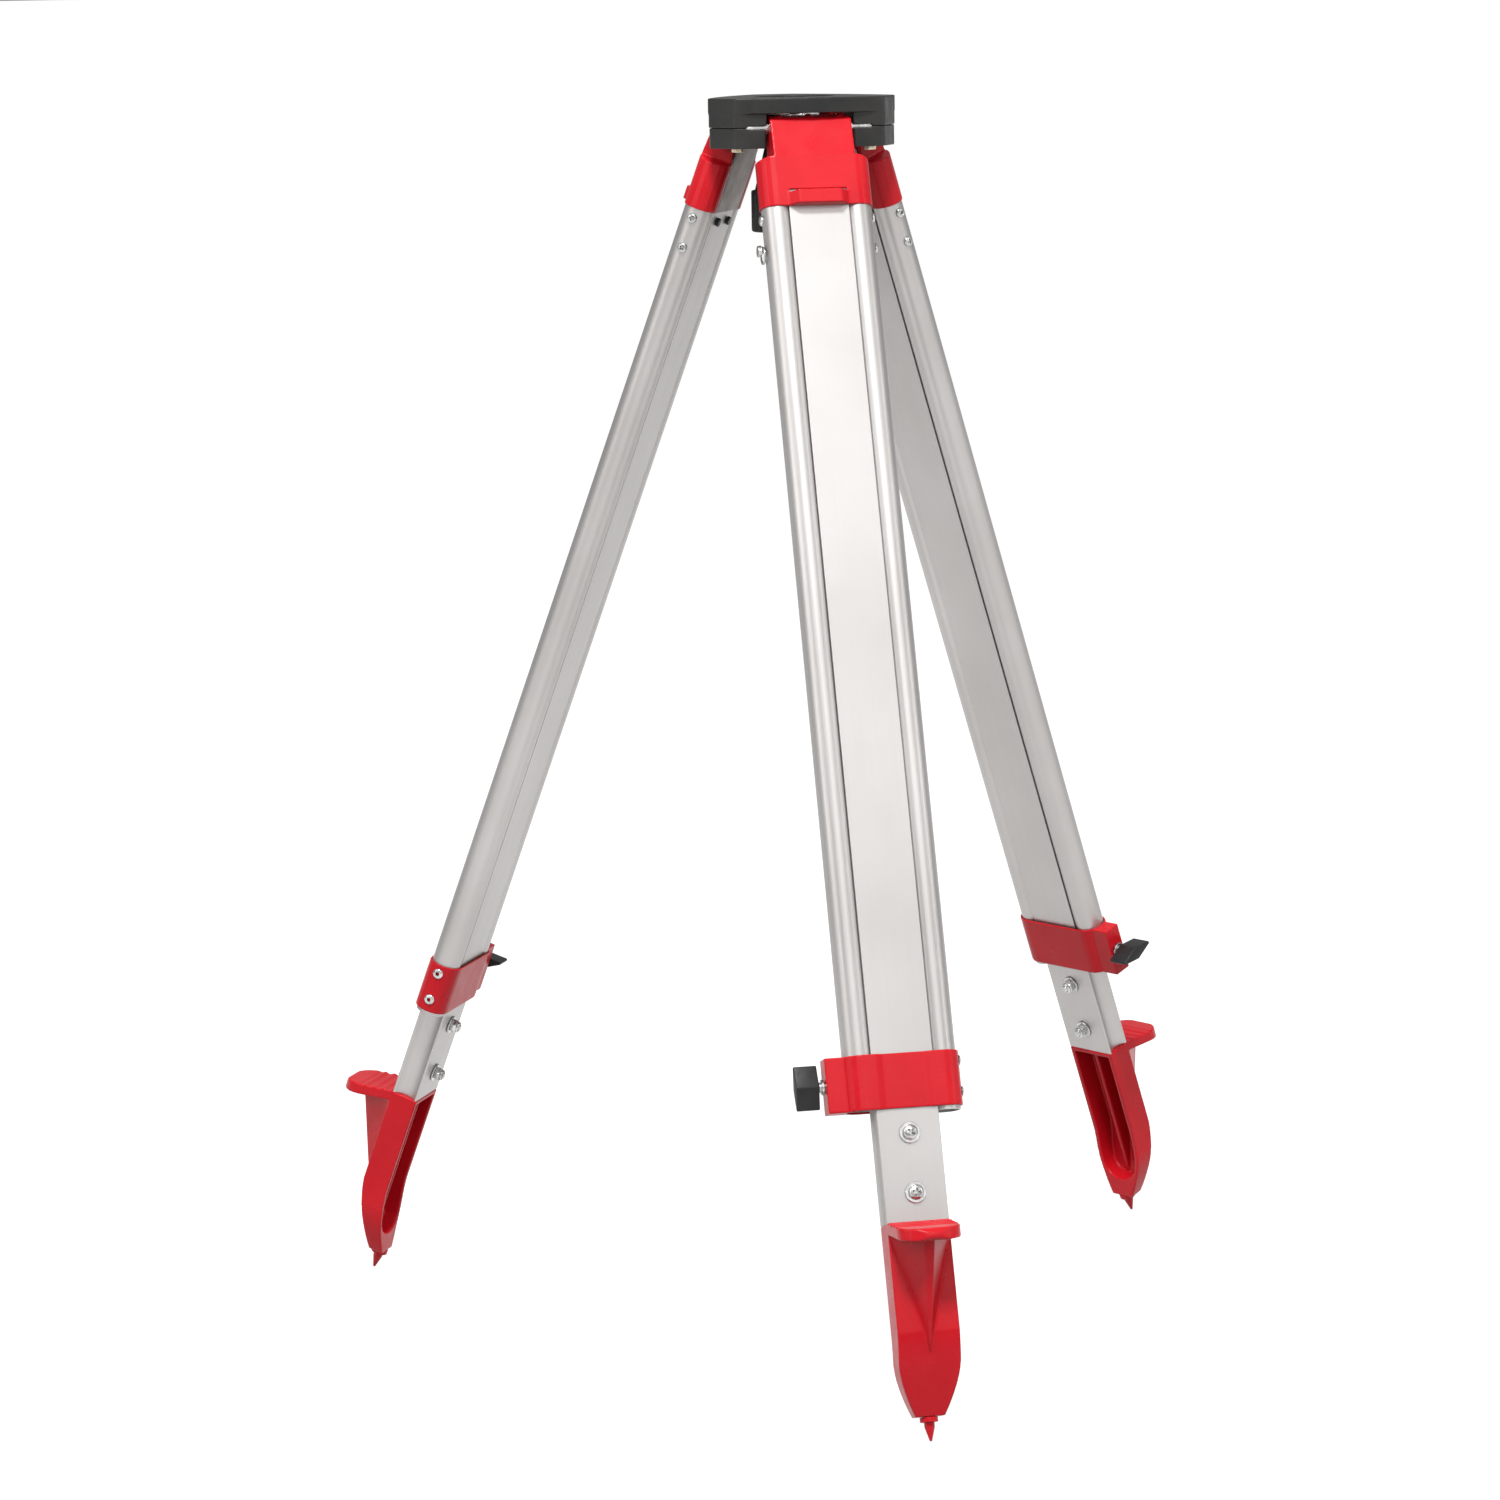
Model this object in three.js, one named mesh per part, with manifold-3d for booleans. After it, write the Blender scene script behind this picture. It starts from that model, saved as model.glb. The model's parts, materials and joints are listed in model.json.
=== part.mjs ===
// Surveyor's tripod: a head with a captive centre screw and three hinged, telescoping legs.
// Millimetres, +Z up. The origin is the centre of the bounding box, at the level of the spike tips.
import * as THREE from "three";
import { mergeVertices } from "three/addons/utils/BufferGeometryUtils.js";
import { ConvexGeometry } from "three/addons/geometries/ConvexGeometry.js";
import Module from "manifold-3d";

const wasm = await Module();
wasm.setup();

// ---------------------------------------------------------------- driving dimensions
const SPREAD = THREE.MathUtils.degToRad(20.5); // lean of every leg away from the head's axis
const LEG_AZIMUTHS = { a: -90, b: 150, c: 30 }; // degrees about +Z; leg a points along -Y
const CORNER_AZIMUTHS = [90, 210, 330]; // the head's corners lie between the legs
const HINGE_RADIUS = 46; // head axis to hinge axis
const HINGE_DEPTH = 23; // head's top face down to the hinge axes
const LEG_LENGTH = 1023; // hinge axis to spike tip, along the leg
const GAP = 0.3; // clearance between touching pieces
const RUNNING_FIT = 0.06; // radial clearance where a shaft turns in its bore

const TUBE_RADIUS = 12;
const TUBE_WALL = 1.5;
const TUBE_OFFSET = 32; // leg centre to each tube's centre
const TUBE_START = 30; // distances "start" and "end" run down the leg from the hinge axis
const TUBE_ENDS = { clamp_side: 774, rivet_side: 778.5 };
const SLIDER_WIDTH = 48;
const SLIDER_DEPTH = 22;
const SLIDER_WALL = 1.8;
const SLIDER_START = 50;
const FOOT_TOP = 162; // distances from FOOT_TOP on run up the leg from the spike tip
const BRACKET_START = 27;
const BRACKET_END = 68;
const CLAMP_START = 733.5;
const CLAMP_END = 775.5;
const FOOT_BOLTS = { upper: 229, lower: 184 };

const SHAFT_RADIUS = 5; // hinge shafts
const SCREW_RADIUS = 7.9; // 5/8 inch centre screw

// ---------------------------------------------------------------- materials
const material = (color, roughness, metalness) =>
  new THREE.MeshStandardMaterial({ color, roughness, metalness });
const BLACK_CASTING = material(0x2b2a28, 0.5, 0.2);
const RED_PAINT = material(0xe0281e, 0.3, 0);
const ALUMINIUM = material(0xc9c8c6, 0.35, 0.9);
const ZINC = material(0xb9bab8, 0.35, 0.9);
const BLACK_PLASTIC = material(0x1f1f20, 0.55, 0);
const YELLOW_ZINC = material(0xc8a860, 0.35, 0.9);
const BRASS = material(0xb99b55, 0.35, 0.9);

// ---------------------------------------------------------------- solids
const X = new THREE.Vector3(1, 0, 0);
const Y = new THREE.Vector3(0, 1, 0);
const Z = new THREE.Vector3(0, 0, 1);
// Each matrix sends an outline's own x, y and extrusion direction to the leg's or head's axes.
const ALONG = {
  x: new THREE.Matrix4().makeBasis(Y, Z, X), // outline in (y, z)
  y: new THREE.Matrix4().makeBasis(Z, X, Y), // outline in (z, x)
  z: new THREE.Matrix4(), // outline in (x, y)
};

function solid(geometry) {
  const bare = geometry.clone();
  bare.deleteAttribute("normal");
  bare.deleteAttribute("uv");
  const merged = mergeVertices(bare, 1e-4);
  return new wasm.Manifold(
    new wasm.Mesh({
      numProp: 3,
      vertProperties: merged.attributes.position.array,
      triVerts: new Uint32Array(merged.index.array),
    }),
  );
}

function join(...solids) {
  return solids.reduce((whole, next) => whole.add(next));
}

function cut(body, ...tools) {
  return tools.reduce((rest, tool) => rest.subtract(tool), body);
}

// A prism of a closed outline of [u, v] points, from one place to another along an axis.
function prism(axis, outline, from, to) {
  const shape = new THREE.Shape(outline.map(([u, v]) => new THREE.Vector2(u, v)));
  const geometry = new THREE.ExtrudeGeometry(shape, { depth: to - from, bevelEnabled: false });
  return solid(geometry.translate(0, 0, from).applyMatrix4(ALONG[axis]));
}

function box([x0, x1], [y0, y1], [z0, z1]) {
  const geometry = new THREE.BoxGeometry(x1 - x0, y1 - y0, z1 - z0);
  return solid(geometry.translate((x0 + x1) / 2, (y0 + y1) / 2, (z0 + z1) / 2));
}

function arc(cx, cy, radius, startDegrees, endDegrees, steps) {
  return Array.from({ length: steps + 1 }, (_, i) => {
    const angle = THREE.MathUtils.degToRad(startDegrees + ((endDegrees - startDegrees) * i) / steps);
    return [cx + radius * Math.cos(angle), cy + radius * Math.sin(angle)];
  });
}

function circle(cx, cy, radius, steps) {
  return arc(cx, cy, radius, 0, 360, steps).slice(0, steps);
}

function cylinder(axis, [u, v], radius, from, to, steps = 24) {
  return prism(axis, circle(u, v, radius, steps), from, to);
}

// A round hole whose flats clear a shaft of the given radius by a running fit.
function bore(axis, at, radius, from, to, steps = 24) {
  return cylinder(axis, at, (radius + RUNNING_FIT) / Math.cos(Math.PI / steps), from, to, steps);
}

// A turned piece about +Z from [radius, z] points that start and end on the axis, bottom first.
function turned(profile, steps = 24) {
  const points = profile.map(([radius, z]) => new THREE.Vector2(radius, z));
  return solid(new THREE.LatheGeometry(points, steps).rotateX(Math.PI / 2));
}

// Rounds every corner of a counter-clockwise convex or concave outline of [x, y, radius] points.
function rounded(corners, steps = 3) {
  return corners.flatMap(([x, y, radius], i) => {
    if (!radius) return [[x, y]];
    const corner = new THREE.Vector2(x, y);
    const before = corners[(i + corners.length - 1) % corners.length];
    const after = corners[(i + 1) % corners.length];
    const back = new THREE.Vector2(before[0] - x, before[1] - y).normalize();
    const ahead = new THREE.Vector2(after[0] - x, after[1] - y).normalize();
    const half = Math.acos(THREE.MathUtils.clamp(back.dot(ahead), -1, 1)) / 2;
    const reach = radius / Math.tan(half);
    const start = corner.clone().addScaledVector(back, reach);
    const end = corner.clone().addScaledVector(ahead, reach);
    const curve = new THREE.QuadraticBezierCurve(start, corner, end);
    return curve.getPoints(steps).map((p) => [p.x, p.y]);
  });
}

function steps(from, to, count) {
  return Array.from({ length: count + 1 }, (_, i) => from + ((to - from) * i) / count);
}

function mirrored(outline) {
  return outline.map(([x, y]) => [-x, y]).reverse();
}

function mesh(name, body, finish) {
  const result = body.getMesh();
  const geometry = new THREE.BufferGeometry();
  geometry.setAttribute("position", new THREE.BufferAttribute(result.vertProperties, 3));
  geometry.setIndex(new THREE.BufferAttribute(result.triVerts, 1));
  const piece = new THREE.Mesh(geometry, finish);
  piece.name = name;
  return piece;
}

// ---------------------------------------------------------------- head
// The head's own frame: axis on Z, hinge axes at z = 0, leg a towards -Y.
const HEAD_TOP = HINGE_DEPTH;
const FLANGE_BOTTOM = 11;
const WEB_BOTTOM = 16.5; // the plate is hollowed from below inside its rim
const CORNER_REACH = 78.5; // head axis to the flat on each corner
const CORNER_HALF = 15.9; // half the width of that flat
const SIDE_REACH = 60; // head axis to the middle of each bulging side
const SLOT_HALF = 34.5; // half the width between two corner blocks, where a leg's tab swings
const BLOCK_BOTTOM = 1.5;
const CAP_TOP = -1.5;
const CAP_BOTTOM = -16;
const BOSS_START = 70; // beyond the shaft's end a block and its cap meet
const EAR_REACH = 54; // head axis to the face of the blocks beside each leg
const HOLE_RADIUS = 32;
const CAP_BOLT_REACH = 62;
const SHAFT_HALF = 51;

function turnedBy(degrees, [x, y]) {
  const point = new THREE.Vector2(x, y).rotateAround(new THREE.Vector2(), THREE.MathUtils.degToRad(degrees));
  return [point.x, point.y];
}

// The plate's outline: at each corner a flat with soft ends, and between corners a bulging side.
function plateOutline() {
  const oneThird = rounded([
    [CORNER_REACH, -CORNER_HALF, 0],
    [CORNER_REACH, CORNER_HALF, 0],
  ]);
  const start = turnedBy(0, oneThird[1]);
  const end = turnedBy(120, oneThird[0]);
  const bulge = turnedBy(60, [SIDE_REACH, 0]);
  const chordMiddle = [(start[0] + end[0]) / 2, (start[1] + end[1]) / 2];
  const control = [2 * bulge[0] - chordMiddle[0], 2 * bulge[1] - chordMiddle[1]];
  const side = new THREE.QuadraticBezierCurve(
    new THREE.Vector2(...start),
    new THREE.Vector2(...control),
    new THREE.Vector2(...end),
  );
  const sidePoints = side.getPoints(8).map((p) => [p.x, p.y]);
  const corners = CORNER_AZIMUTHS.flatMap((azimuth) =>
    sidePoints.map((p, i) => {
      const isFlatEnd = i === 0 || i === sidePoints.length - 1;
      return [...turnedBy(azimuth, p), isFlatEnd ? 4 : 0];
    }),
  );
  return rounded(corners, 3);
}

// One corner block's outline, which a bearing cap repeats: it ends at the slots of two legs.
function blockOutline(inset = 0) {
  const slot = SLOT_HALF + inset;
  const ear = EAR_REACH - inset;
  const reach = CORNER_REACH - inset;
  // In the frame of a leg at azimuth 0, whose slot's face is y = slot; the corner lies at azimuth 60.
  const vertex = [slot / Math.tan(Math.PI / 3), slot];
  const earEnd = [ear, slot];
  const flatEnd = turnedBy(60, [reach, -CORNER_HALF + inset]);
  const half = [[...vertex, 0], [...earEnd, 2], [...flatEnd, 6]];
  const local = half.map(([x, y, r]) => [...turnedBy(-60, [x, y]), r]);
  const [tip, ...sides] = local;
  const mirroredSides = sides.map(([x, y, r]) => [x, -y, r]).reverse();
  return rounded([tip, ...sides, ...mirroredSides], 3);
}

const atAzimuth = (outline, azimuth) => outline.map((p) => turnedBy(azimuth, p));

// The part of a block or cap that closes the gap between them at its corner.
function boss(outline, azimuth, from, to) {
  const keep = box([BOSS_START, 90], [-40, 40], [from - 1, to + 1]).rotate([0, 0, azimuth]);
  return prism("z", outline, from, to).intersect(keep);
}

// A shaft runs across its leg's slot and some way into the block on each side.
function shaftHoles() {
  return Object.values(LEG_AZIMUTHS).map((azimuth) => {
    const at = [0, HINGE_RADIUS];
    const hole = cylinder("y", at, SHAFT_RADIUS + GAP, -SHAFT_HALF - GAP, SHAFT_HALF + GAP, 20);
    return hole.rotate([0, 0, azimuth]);
  });
}

function headPlate() {
  const flange = prism("z", plateOutline(), FLANGE_BOTTOM, HEAD_TOP);
  const blocks = CORNER_AZIMUTHS.map((azimuth) => {
    const outline = atAzimuth(blockOutline(), azimuth);
    const block = prism("z", outline, BLOCK_BOTTOM, WEB_BOTTOM);
    return join(block, boss(outline, azimuth, GAP / 2, BLOCK_BOTTOM + 0.1));
  });
  const pockets = Object.values(LEG_AZIMUTHS).map((azimuth) =>
    box([-1, 50], [-SLOT_HALF, SLOT_HALF], [FLANGE_BOTTOM - 1, WEB_BOTTOM]).rotate([0, 0, azimuth]),
  );
  const boltHoles = CORNER_AZIMUTHS.map((azimuth) => {
    const at = turnedBy(azimuth, [CAP_BOLT_REACH, 0]);
    return cylinder("z", at, 3 + GAP, BLOCK_BOTTOM - 1, 17, 12);
  });
  const pivotHole = cylinder("z", onArm(ARM_PIVOT_REACH), PIVOT_RADIUS + GAP, WEB_BOTTOM - 1, HEAD_TOP - 2, 12);
  const opening = cylinder("z", [0, 0], HOLE_RADIUS, FLANGE_BOTTOM - 1, HEAD_TOP + 1, 40);
  return cut(join(cut(flange, ...pockets), ...blocks), opening, ...shaftHoles(), ...boltHoles, pivotHole);
}

function bearingCap(azimuth) {
  const outline = atAzimuth(blockOutline(0.4), azimuth);
  const body = prism("z", outline, CAP_BOTTOM, CAP_TOP);
  const closed = join(body, boss(outline, azimuth, CAP_TOP - 0.1, -GAP / 2));
  const at = turnedBy(azimuth, [CAP_BOLT_REACH, 0]);
  return cut(closed, ...shaftHoles(), cylinder("z", at, 3 + GAP, CAP_BOTTOM - 1, CAP_TOP + 1, 12));
}

function capBolt(azimuth) {
  const at = turnedBy(azimuth, [CAP_BOLT_REACH, 0]);
  const shank = cylinder("z", at, 3, CAP_BOTTOM - 2, 16, 12);
  const head = cylinder("z", at, 4.8, CAP_BOTTOM - GAP - 3, CAP_BOTTOM - GAP, 6);
  return join(shank, head);
}

// ---------------------------------------------------------------- centre screw on its swing arm
// These pieces are made along X: the pivot lies at x = ARM_PIVOT_REACH and the screw at x = -SLOT_END.
// The arm stands at one end of its swing; half way through it points at the head's axis.
const ARM_AZIMUTH = 44.6;
const ARM_PIVOT_REACH = 38;
const PIVOT_RADIUS = 2.5;
const ARM_THICKNESS = 3;
const ARM_HIGH = 11.2; // underside of the arm's end at the pivot
const ARM_LOW = 5; // underside of the arm across the opening
const ARM_HALF = 13;
const SLOT_START = 17; // the bush slides from -SLOT_END to SLOT_START along the arm
const SLOT_END = 21;
const SLOT_RADIUS = 9.5;
const BUSH_LIP = 12.5;
const BUSH_BOTTOM = 2;
const BUSH_TOP = 9.7;
const NECK_RADIUS = 6.5; // the screw's plain neck, which makes it captive in the bush
const THREAD_BOTTOM = 10;
const SCREW_TOP = 22;
const FLANGE_TOP = -10.5;
const KNOB_RADIUS = 20;
const KNOB_NECK_TOP = -15;
const KNOB_TOP = -50;
const KNOB_BOTTOM = -83;

// Where a place on the arm's own X axis lies in the head's frame: the screw stands off the head's
// axis, straight away from leg c.
function onArm(x) {
  const screw = turnedBy(LEG_AZIMUTHS.c, [-SLOT_END, 0]);
  const along = turnedBy(ARM_AZIMUTH, [x + SLOT_END, 0]);
  return [screw[0] + along[0], screw[1] + along[1]];
}

function swingArm() {
  const high = ARM_HIGH + ARM_THICKNESS;
  const low = ARM_LOW + ARM_THICKNESS;
  const strip = [[-60, ARM_LOW], [31, ARM_LOW], [33.5, ARM_HIGH], [60, ARM_HIGH], [60, high], [32, high],
    [29.5, low], [-60, low]];
  const side = prism("y", strip.map(([x, z]) => [z, x]).reverse(), -ARM_HALF - 1, ARM_HALF + 1);
  const plan = [
    ...arc(ARM_PIVOT_REACH, 0, 6, -60, 60, 6),
    ...arc(SLOT_START, 0, ARM_HALF, 60, 90, 2),
    ...arc(-SLOT_END, 0, ARM_HALF, 90, 270, 10),
    ...arc(SLOT_START, 0, ARM_HALF, 270, 300, 2),
  ];
  const slot = [
    ...arc(SLOT_START, 0, SLOT_RADIUS, -90, 90, 8),
    ...arc(-SLOT_END, 0, SLOT_RADIUS, 90, 270, 8),
  ];
  return cut(
    prism("z", plan, ARM_LOW - 1, high + 1).intersect(side),
    prism("z", slot, ARM_LOW - 1, low + 1),
    bore("z", [ARM_PIVOT_REACH, 0], PIVOT_RADIUS, ARM_LOW, high + 1, 12),
  );
}

function armPivot() {
  const at = [ARM_PIVOT_REACH, 0];
  const head = cylinder("z", at, 3.6, ARM_HIGH - GAP - 1.2, ARM_HIGH - GAP, 12);
  return join(head, cylinder("z", at, PIVOT_RADIUS, ARM_HIGH - GAP - 1, HEAD_TOP - 2.5, 12));
}

// The bush rides in the arm's slot between its lower lip and the lip staked over on top.
function slideBush() {
  const low = ARM_LOW - GAP;
  const high = ARM_LOW + ARM_THICKNESS + GAP;
  const body = turned([[0, BUSH_BOTTOM], [BUSH_LIP, BUSH_BOTTOM], [BUSH_LIP, low], [SLOT_RADIUS - GAP, low],
    [SLOT_RADIUS - GAP, high], [BUSH_LIP - 1, high], [BUSH_LIP - 1, BUSH_TOP], [0, BUSH_TOP]]);
  return cut(body, bore("z", [0, 0], NECK_RADIUS, BUSH_BOTTOM - 1, BUSH_TOP + 1));
}

function thrustWasher() {
  const disc = cylinder("z", [0, 0], 10, FLANGE_TOP + GAP, FLANGE_TOP + GAP + 1.2);
  return cut(disc, bore("z", [0, 0], NECK_RADIUS, FLANGE_TOP, FLANGE_TOP + 3));
}

function centreScrew() {
  return turned([[0, -45], [5, -45], [5, KNOB_NECK_TOP + GAP], [9, KNOB_NECK_TOP + GAP], [9, FLANGE_TOP],
    [NECK_RADIUS, FLANGE_TOP], [NECK_RADIUS, THREAD_BOTTOM], [SCREW_RADIUS, THREAD_BOTTOM + 0.5],
    [SCREW_RADIUS, SCREW_TOP - 1.5], [SCREW_RADIUS - 1.5, SCREW_TOP], [0, SCREW_TOP]]);
}

function screwKnob() {
  const body = turned([[0, KNOB_BOTTOM], [18.5, KNOB_BOTTOM], [KNOB_RADIUS, KNOB_BOTTOM + 1.5],
    [KNOB_RADIUS, KNOB_TOP - 1], [KNOB_RADIUS - 1, KNOB_TOP], [17, KNOB_TOP], [8.5, KNOB_NECK_TOP],
    [0, KNOB_NECK_TOP]], 36);
  return cut(body, cylinder("z", [0, 0], 5 + GAP, -45 - GAP, KNOB_NECK_TOP + 1, 12));
}

// ---------------------------------------------------------------- leg, upper part
// A leg's frame: origin on the hinge axis, X along it towards the clamp screw's side, Y outwards,
// Z up the leg. down(s) is the height of a place s below the hinge, up(h) one h above the spike tip.
const down = (s) => -s;
const up = (h) => h - LEG_LENGTH;
const SOCKET_RADIUS = TUBE_RADIUS + 1.2;
const TAB_HALF = 32.5;
const BARREL_RADIUS = 9;

function stadium(radius) {
  return [
    ...arc(TUBE_OFFSET, 0, radius, -90, 90, 10),
    ...arc(-TUBE_OFFSET, 0, radius, 90, 270, 10),
  ];
}

const BOTH_SIDES = [1, -1];

function bracketTab() {
  // (y, z) outline: barrel round the hinge, flat front face and thick root above the tube sockets.
  const outline = [
    ...arc(0, 0, BARREL_RADIUS, 62, 185, 10),
    [-11, -14],
    [-SOCKET_RADIUS, down(BRACKET_START + 3)],
    [SOCKET_RADIUS, down(BRACKET_START + 3)],
    [SOCKET_RADIUS, down(BRACKET_START)],
    [11.5, -6],
    [10.5, 2.5],
    [8.8, 4.2],
  ];
  const ribOutline = [...arc(0, 0, 10.3, 42, 110, 6), [-2, 4], [9, 2]];
  const ribs = [-24, 0, 24].map((x) => prism("x", ribOutline, x - 1.5, x + 1.5));
  return join(prism("x", outline, -TAB_HALF, TAB_HALF), ...ribs);
}

function bracket() {
  const start = down(BRACKET_START);
  const end = down(BRACKET_END);
  const sockets = prism("z", stadium(SOCKET_RADIUS), end, start);
  // Sloping shoulders take the sockets' tops down towards the sides.
  const shoulders = BOTH_SIDES.map((side) => {
    const wedge = [[TAB_HALF, start + 1], [50, start + 1], [50, start - 3.5]];
    const outline = side > 0 ? wedge.reverse() : mirrored(wedge).reverse();
    return prism("y", outline.map(([x, z]) => [z, x]), -20, 20);
  });
  const bump = prism("z", [[-25, 12], [25, 12], [17, 20.5], [-17, 20.5]], end, down(57));
  const spigots = BOTH_SIDES.map((side) =>
    cylinder("z", [side * TUBE_OFFSET, 0], TUBE_RADIUS - TUBE_WALL - GAP, down(108), down(TUBE_START - 1)),
  );
  const tubeBores = BOTH_SIDES.map((side) =>
    cylinder("z", [side * TUBE_OFFSET, 0], TUBE_RADIUS + GAP, end - 1, down(TUBE_START) + GAP),
  );
  const pocket = box([-24.6, 24.6], [-20, 11.4], [end - 1, down(SLIDER_START) + GAP]);
  const hollow = box([-18, 18], [-20, 8], [end - 1, -13]);
  const rebate = box([-28 - GAP, 28 + GAP], [-20, -11.4], [end - 1, -14 + GAP]);
  const slot = box([-23, 23], [8, 30], [down(57), down(54.6)]);
  const hingeBore = bore("x", [0, 0], SHAFT_RADIUS, -TAB_HALF - 1, TAB_HALF + 1, 20);
  const shell = cut(join(cut(sockets, ...shoulders), bracketTab(), bump), ...tubeBores, pocket, hollow, rebate, slot);
  return cut(join(shell, ...spigots), hingeBore);
}

function backPlate() {
  const corners = [[-28, down(BRACKET_END), 1], [28, down(BRACKET_END), 1], [28, -14, 4], [-28, -14, 4]];
  return prism("y", rounded(corners, 3).map(([x, z]) => [z, x]).reverse(), -SOCKET_RADIUS, -11.7);
}

function tube(side) {
  const at = [side * TUBE_OFFSET, 0];
  const end = down(side > 0 ? TUBE_ENDS.clamp_side : TUBE_ENDS.rivet_side);
  return cut(
    cylinder("z", at, TUBE_RADIUS, end, down(TUBE_START), 32),
    cylinder("z", at, TUBE_RADIUS - TUBE_WALL, end - 1, down(TUBE_START) + 1, 24),
  );
}

// ---------------------------------------------------------------- clamp
const CLAMP_MIDDLE = (CLAMP_START + CLAMP_END) / 2;
const BAND_RADIUS = TUBE_RADIUS + 1.9;
const EAR_END = 59;
const EAR_BACK = -9.5;
const EAR_FRONT = 6.5;
const CLAMP_AXIS = [(EAR_BACK + EAR_FRONT) / 2, down(CLAMP_MIDDLE)]; // (y, z) of the clamp screw
const PAD_THICKNESS = 3;
const CLAMP_TRAVEL = 2.5;
const PAD_FACE = TUBE_OFFSET + TUBE_RADIUS + GAP;
const CLAMP_SCREW_RADIUS = 4;
const CLAMP_KNOB_START = 64;
const CLAMP_KNOB_END = 82;
const KNOB_TURN = { a: 0, b: 73, c: 96 }; // where each clamp knob happens to point, in degrees

function clampBand() {
  const start = down(CLAMP_START);
  const end = down(CLAMP_END);
  const ring = prism("z", stadium(BAND_RADIUS), end, start);
  const ear = box([TUBE_OFFSET, EAR_END], [EAR_BACK, EAR_FRONT], [end, start]);
  const inside = prism("z", stadium(TUBE_RADIUS + GAP), end - 1, start + 1);
  // The middle of the front face is pressed back between two slanted creases.
  const creases = prism("z", [[-21, 20], [-21, BAND_RADIUS], [-16, 12.9], [16, 12.9], [21, BAND_RADIUS], [21, 20]]
    .reverse(), end - 1, start + 1);
  const padPocket = box([TUBE_OFFSET, PAD_FACE + PAD_THICKNESS + CLAMP_TRAVEL + GAP],
    [CLAMP_AXIS[0] - 6.8, CLAMP_AXIS[0] + 6.8], [CLAMP_AXIS[1] - 15.3, CLAMP_AXIS[1] + 15.3]);
  const thread = bore("x", CLAMP_AXIS, CLAMP_SCREW_RADIUS, PAD_FACE, EAR_END + 1, 16);
  return cut(join(ring, ear), inside, creases, padPocket, thread);
}

function clampPad() {
  return box([PAD_FACE, PAD_FACE + PAD_THICKNESS], [CLAMP_AXIS[0] - 6.5, CLAMP_AXIS[0] + 6.5],
    [CLAMP_AXIS[1] - 15, CLAMP_AXIS[1] + 15]);
}

function clampScrew() {
  const tip = PAD_FACE + PAD_THICKNESS + GAP;
  const threaded = cylinder("x", CLAMP_AXIS, CLAMP_SCREW_RADIUS, tip, CLAMP_KNOB_START - GAP, 16);
  const shank = cylinder("x", CLAMP_AXIS, 2.5, tip, CLAMP_KNOB_START + 12, 10);
  return join(threaded, shank);
}

function clampKnob(legName) {
  const [y, z] = CLAMP_AXIS;
  const long = 17.5;
  const short = 5.8;
  const corners = [[0, -long, 1.5], [short, 0, 2], [0, long, 1.5], [-short, 0, 2]];
  const outline = atAzimuth(rounded(corners, 2), KNOB_TURN[legName]).map(([u, v]) => [u + y, v + z]);
  const body = prism("x", outline, CLAMP_KNOB_START, CLAMP_KNOB_END);
  return cut(body, cylinder("x", CLAMP_AXIS, 2.5 + GAP, CLAMP_KNOB_START - 1, CLAMP_KNOB_START + 12 + GAP, 10));
}

// ---------------------------------------------------------------- leg, sliding lower part
const STOP_SCREWS = { x: 13, start: 76.5 };

function lowerLeg() {
  const halfWidth = SLIDER_WIDTH / 2;
  const halfDepth = SLIDER_DEPTH / 2;
  const reach = TUBE_RADIUS + 0.5; // the sides are hollowed to run on the tubes
  const edge = THREE.MathUtils.radToDeg(Math.acos((TUBE_OFFSET - halfWidth) / reach));
  const rightSide = arc(TUBE_OFFSET, 0, reach, 180 + edge, 180 - edge, 10);
  const outline = [[halfWidth, -halfDepth], ...rightSide, [halfWidth, halfDepth]];
  const section = [...outline, ...mirrored(outline)];
  const bottom = up(FOOT_TOP);
  const top = down(SLIDER_START);
  const innerWidth = TUBE_OFFSET - reach - SLIDER_WALL;
  const innerDepth = halfDepth - SLIDER_WALL;
  const bolts = Object.values(FOOT_BOLTS).map((h) =>
    cylinder("y", [up(h), 0], 3 + GAP, -20, 20, 12),
  );
  const stops = BOTH_SIDES.map((side) =>
    cylinder("y", [down(STOP_SCREWS.start), side * STOP_SCREWS.x], 2 + GAP, -20, 0, 8),
  );
  const inside = box([-innerWidth, innerWidth], [-innerDepth, innerDepth], [bottom - 1, top + 1]);
  return cut(prism("z", section, bottom, top), inside, ...bolts, ...stops);
}

// A plug in the slider's top end, whose two screw heads meet the clamp at full extension.
function slideStop() {
  const halfDepth = SLIDER_DEPTH / 2;
  const plug = box([-17.4, 17.4], [-8.9, 8.9], [down(92), down(SLIDER_START + 1)]);
  const screws = BOTH_SIDES.flatMap((side) => {
    const at = [down(STOP_SCREWS.start), side * STOP_SCREWS.x];
    return [
      cylinder("y", at, 2, -halfDepth - 3, 0, 8),
      cylinder("y", at, 3.6, -halfDepth - 3, -halfDepth - GAP, 8),
    ];
  });
  return join(plug, ...screws);
}

// ---------------------------------------------------------------- foot
const TIP_OFFSET = -15.5; // the spike lies behind the leg's middle plane
const BEND_TOP = 80; // below this height the foot leans back and thins towards the spike
const FOOT_BOTTOM = 18.5;
const FOOT_HALF = 24;
const FOOT_WALL = 4;
const PEDAL_ROOT = 153.5; // height of the pedal's underside where it leaves the foot
const PEDAL_SLOPE = 0.223;
const PEDAL_THICKNESS = 9.5;
const PEDAL_TIP = 58;
const GUSSET_BOTTOM = 66;

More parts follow.
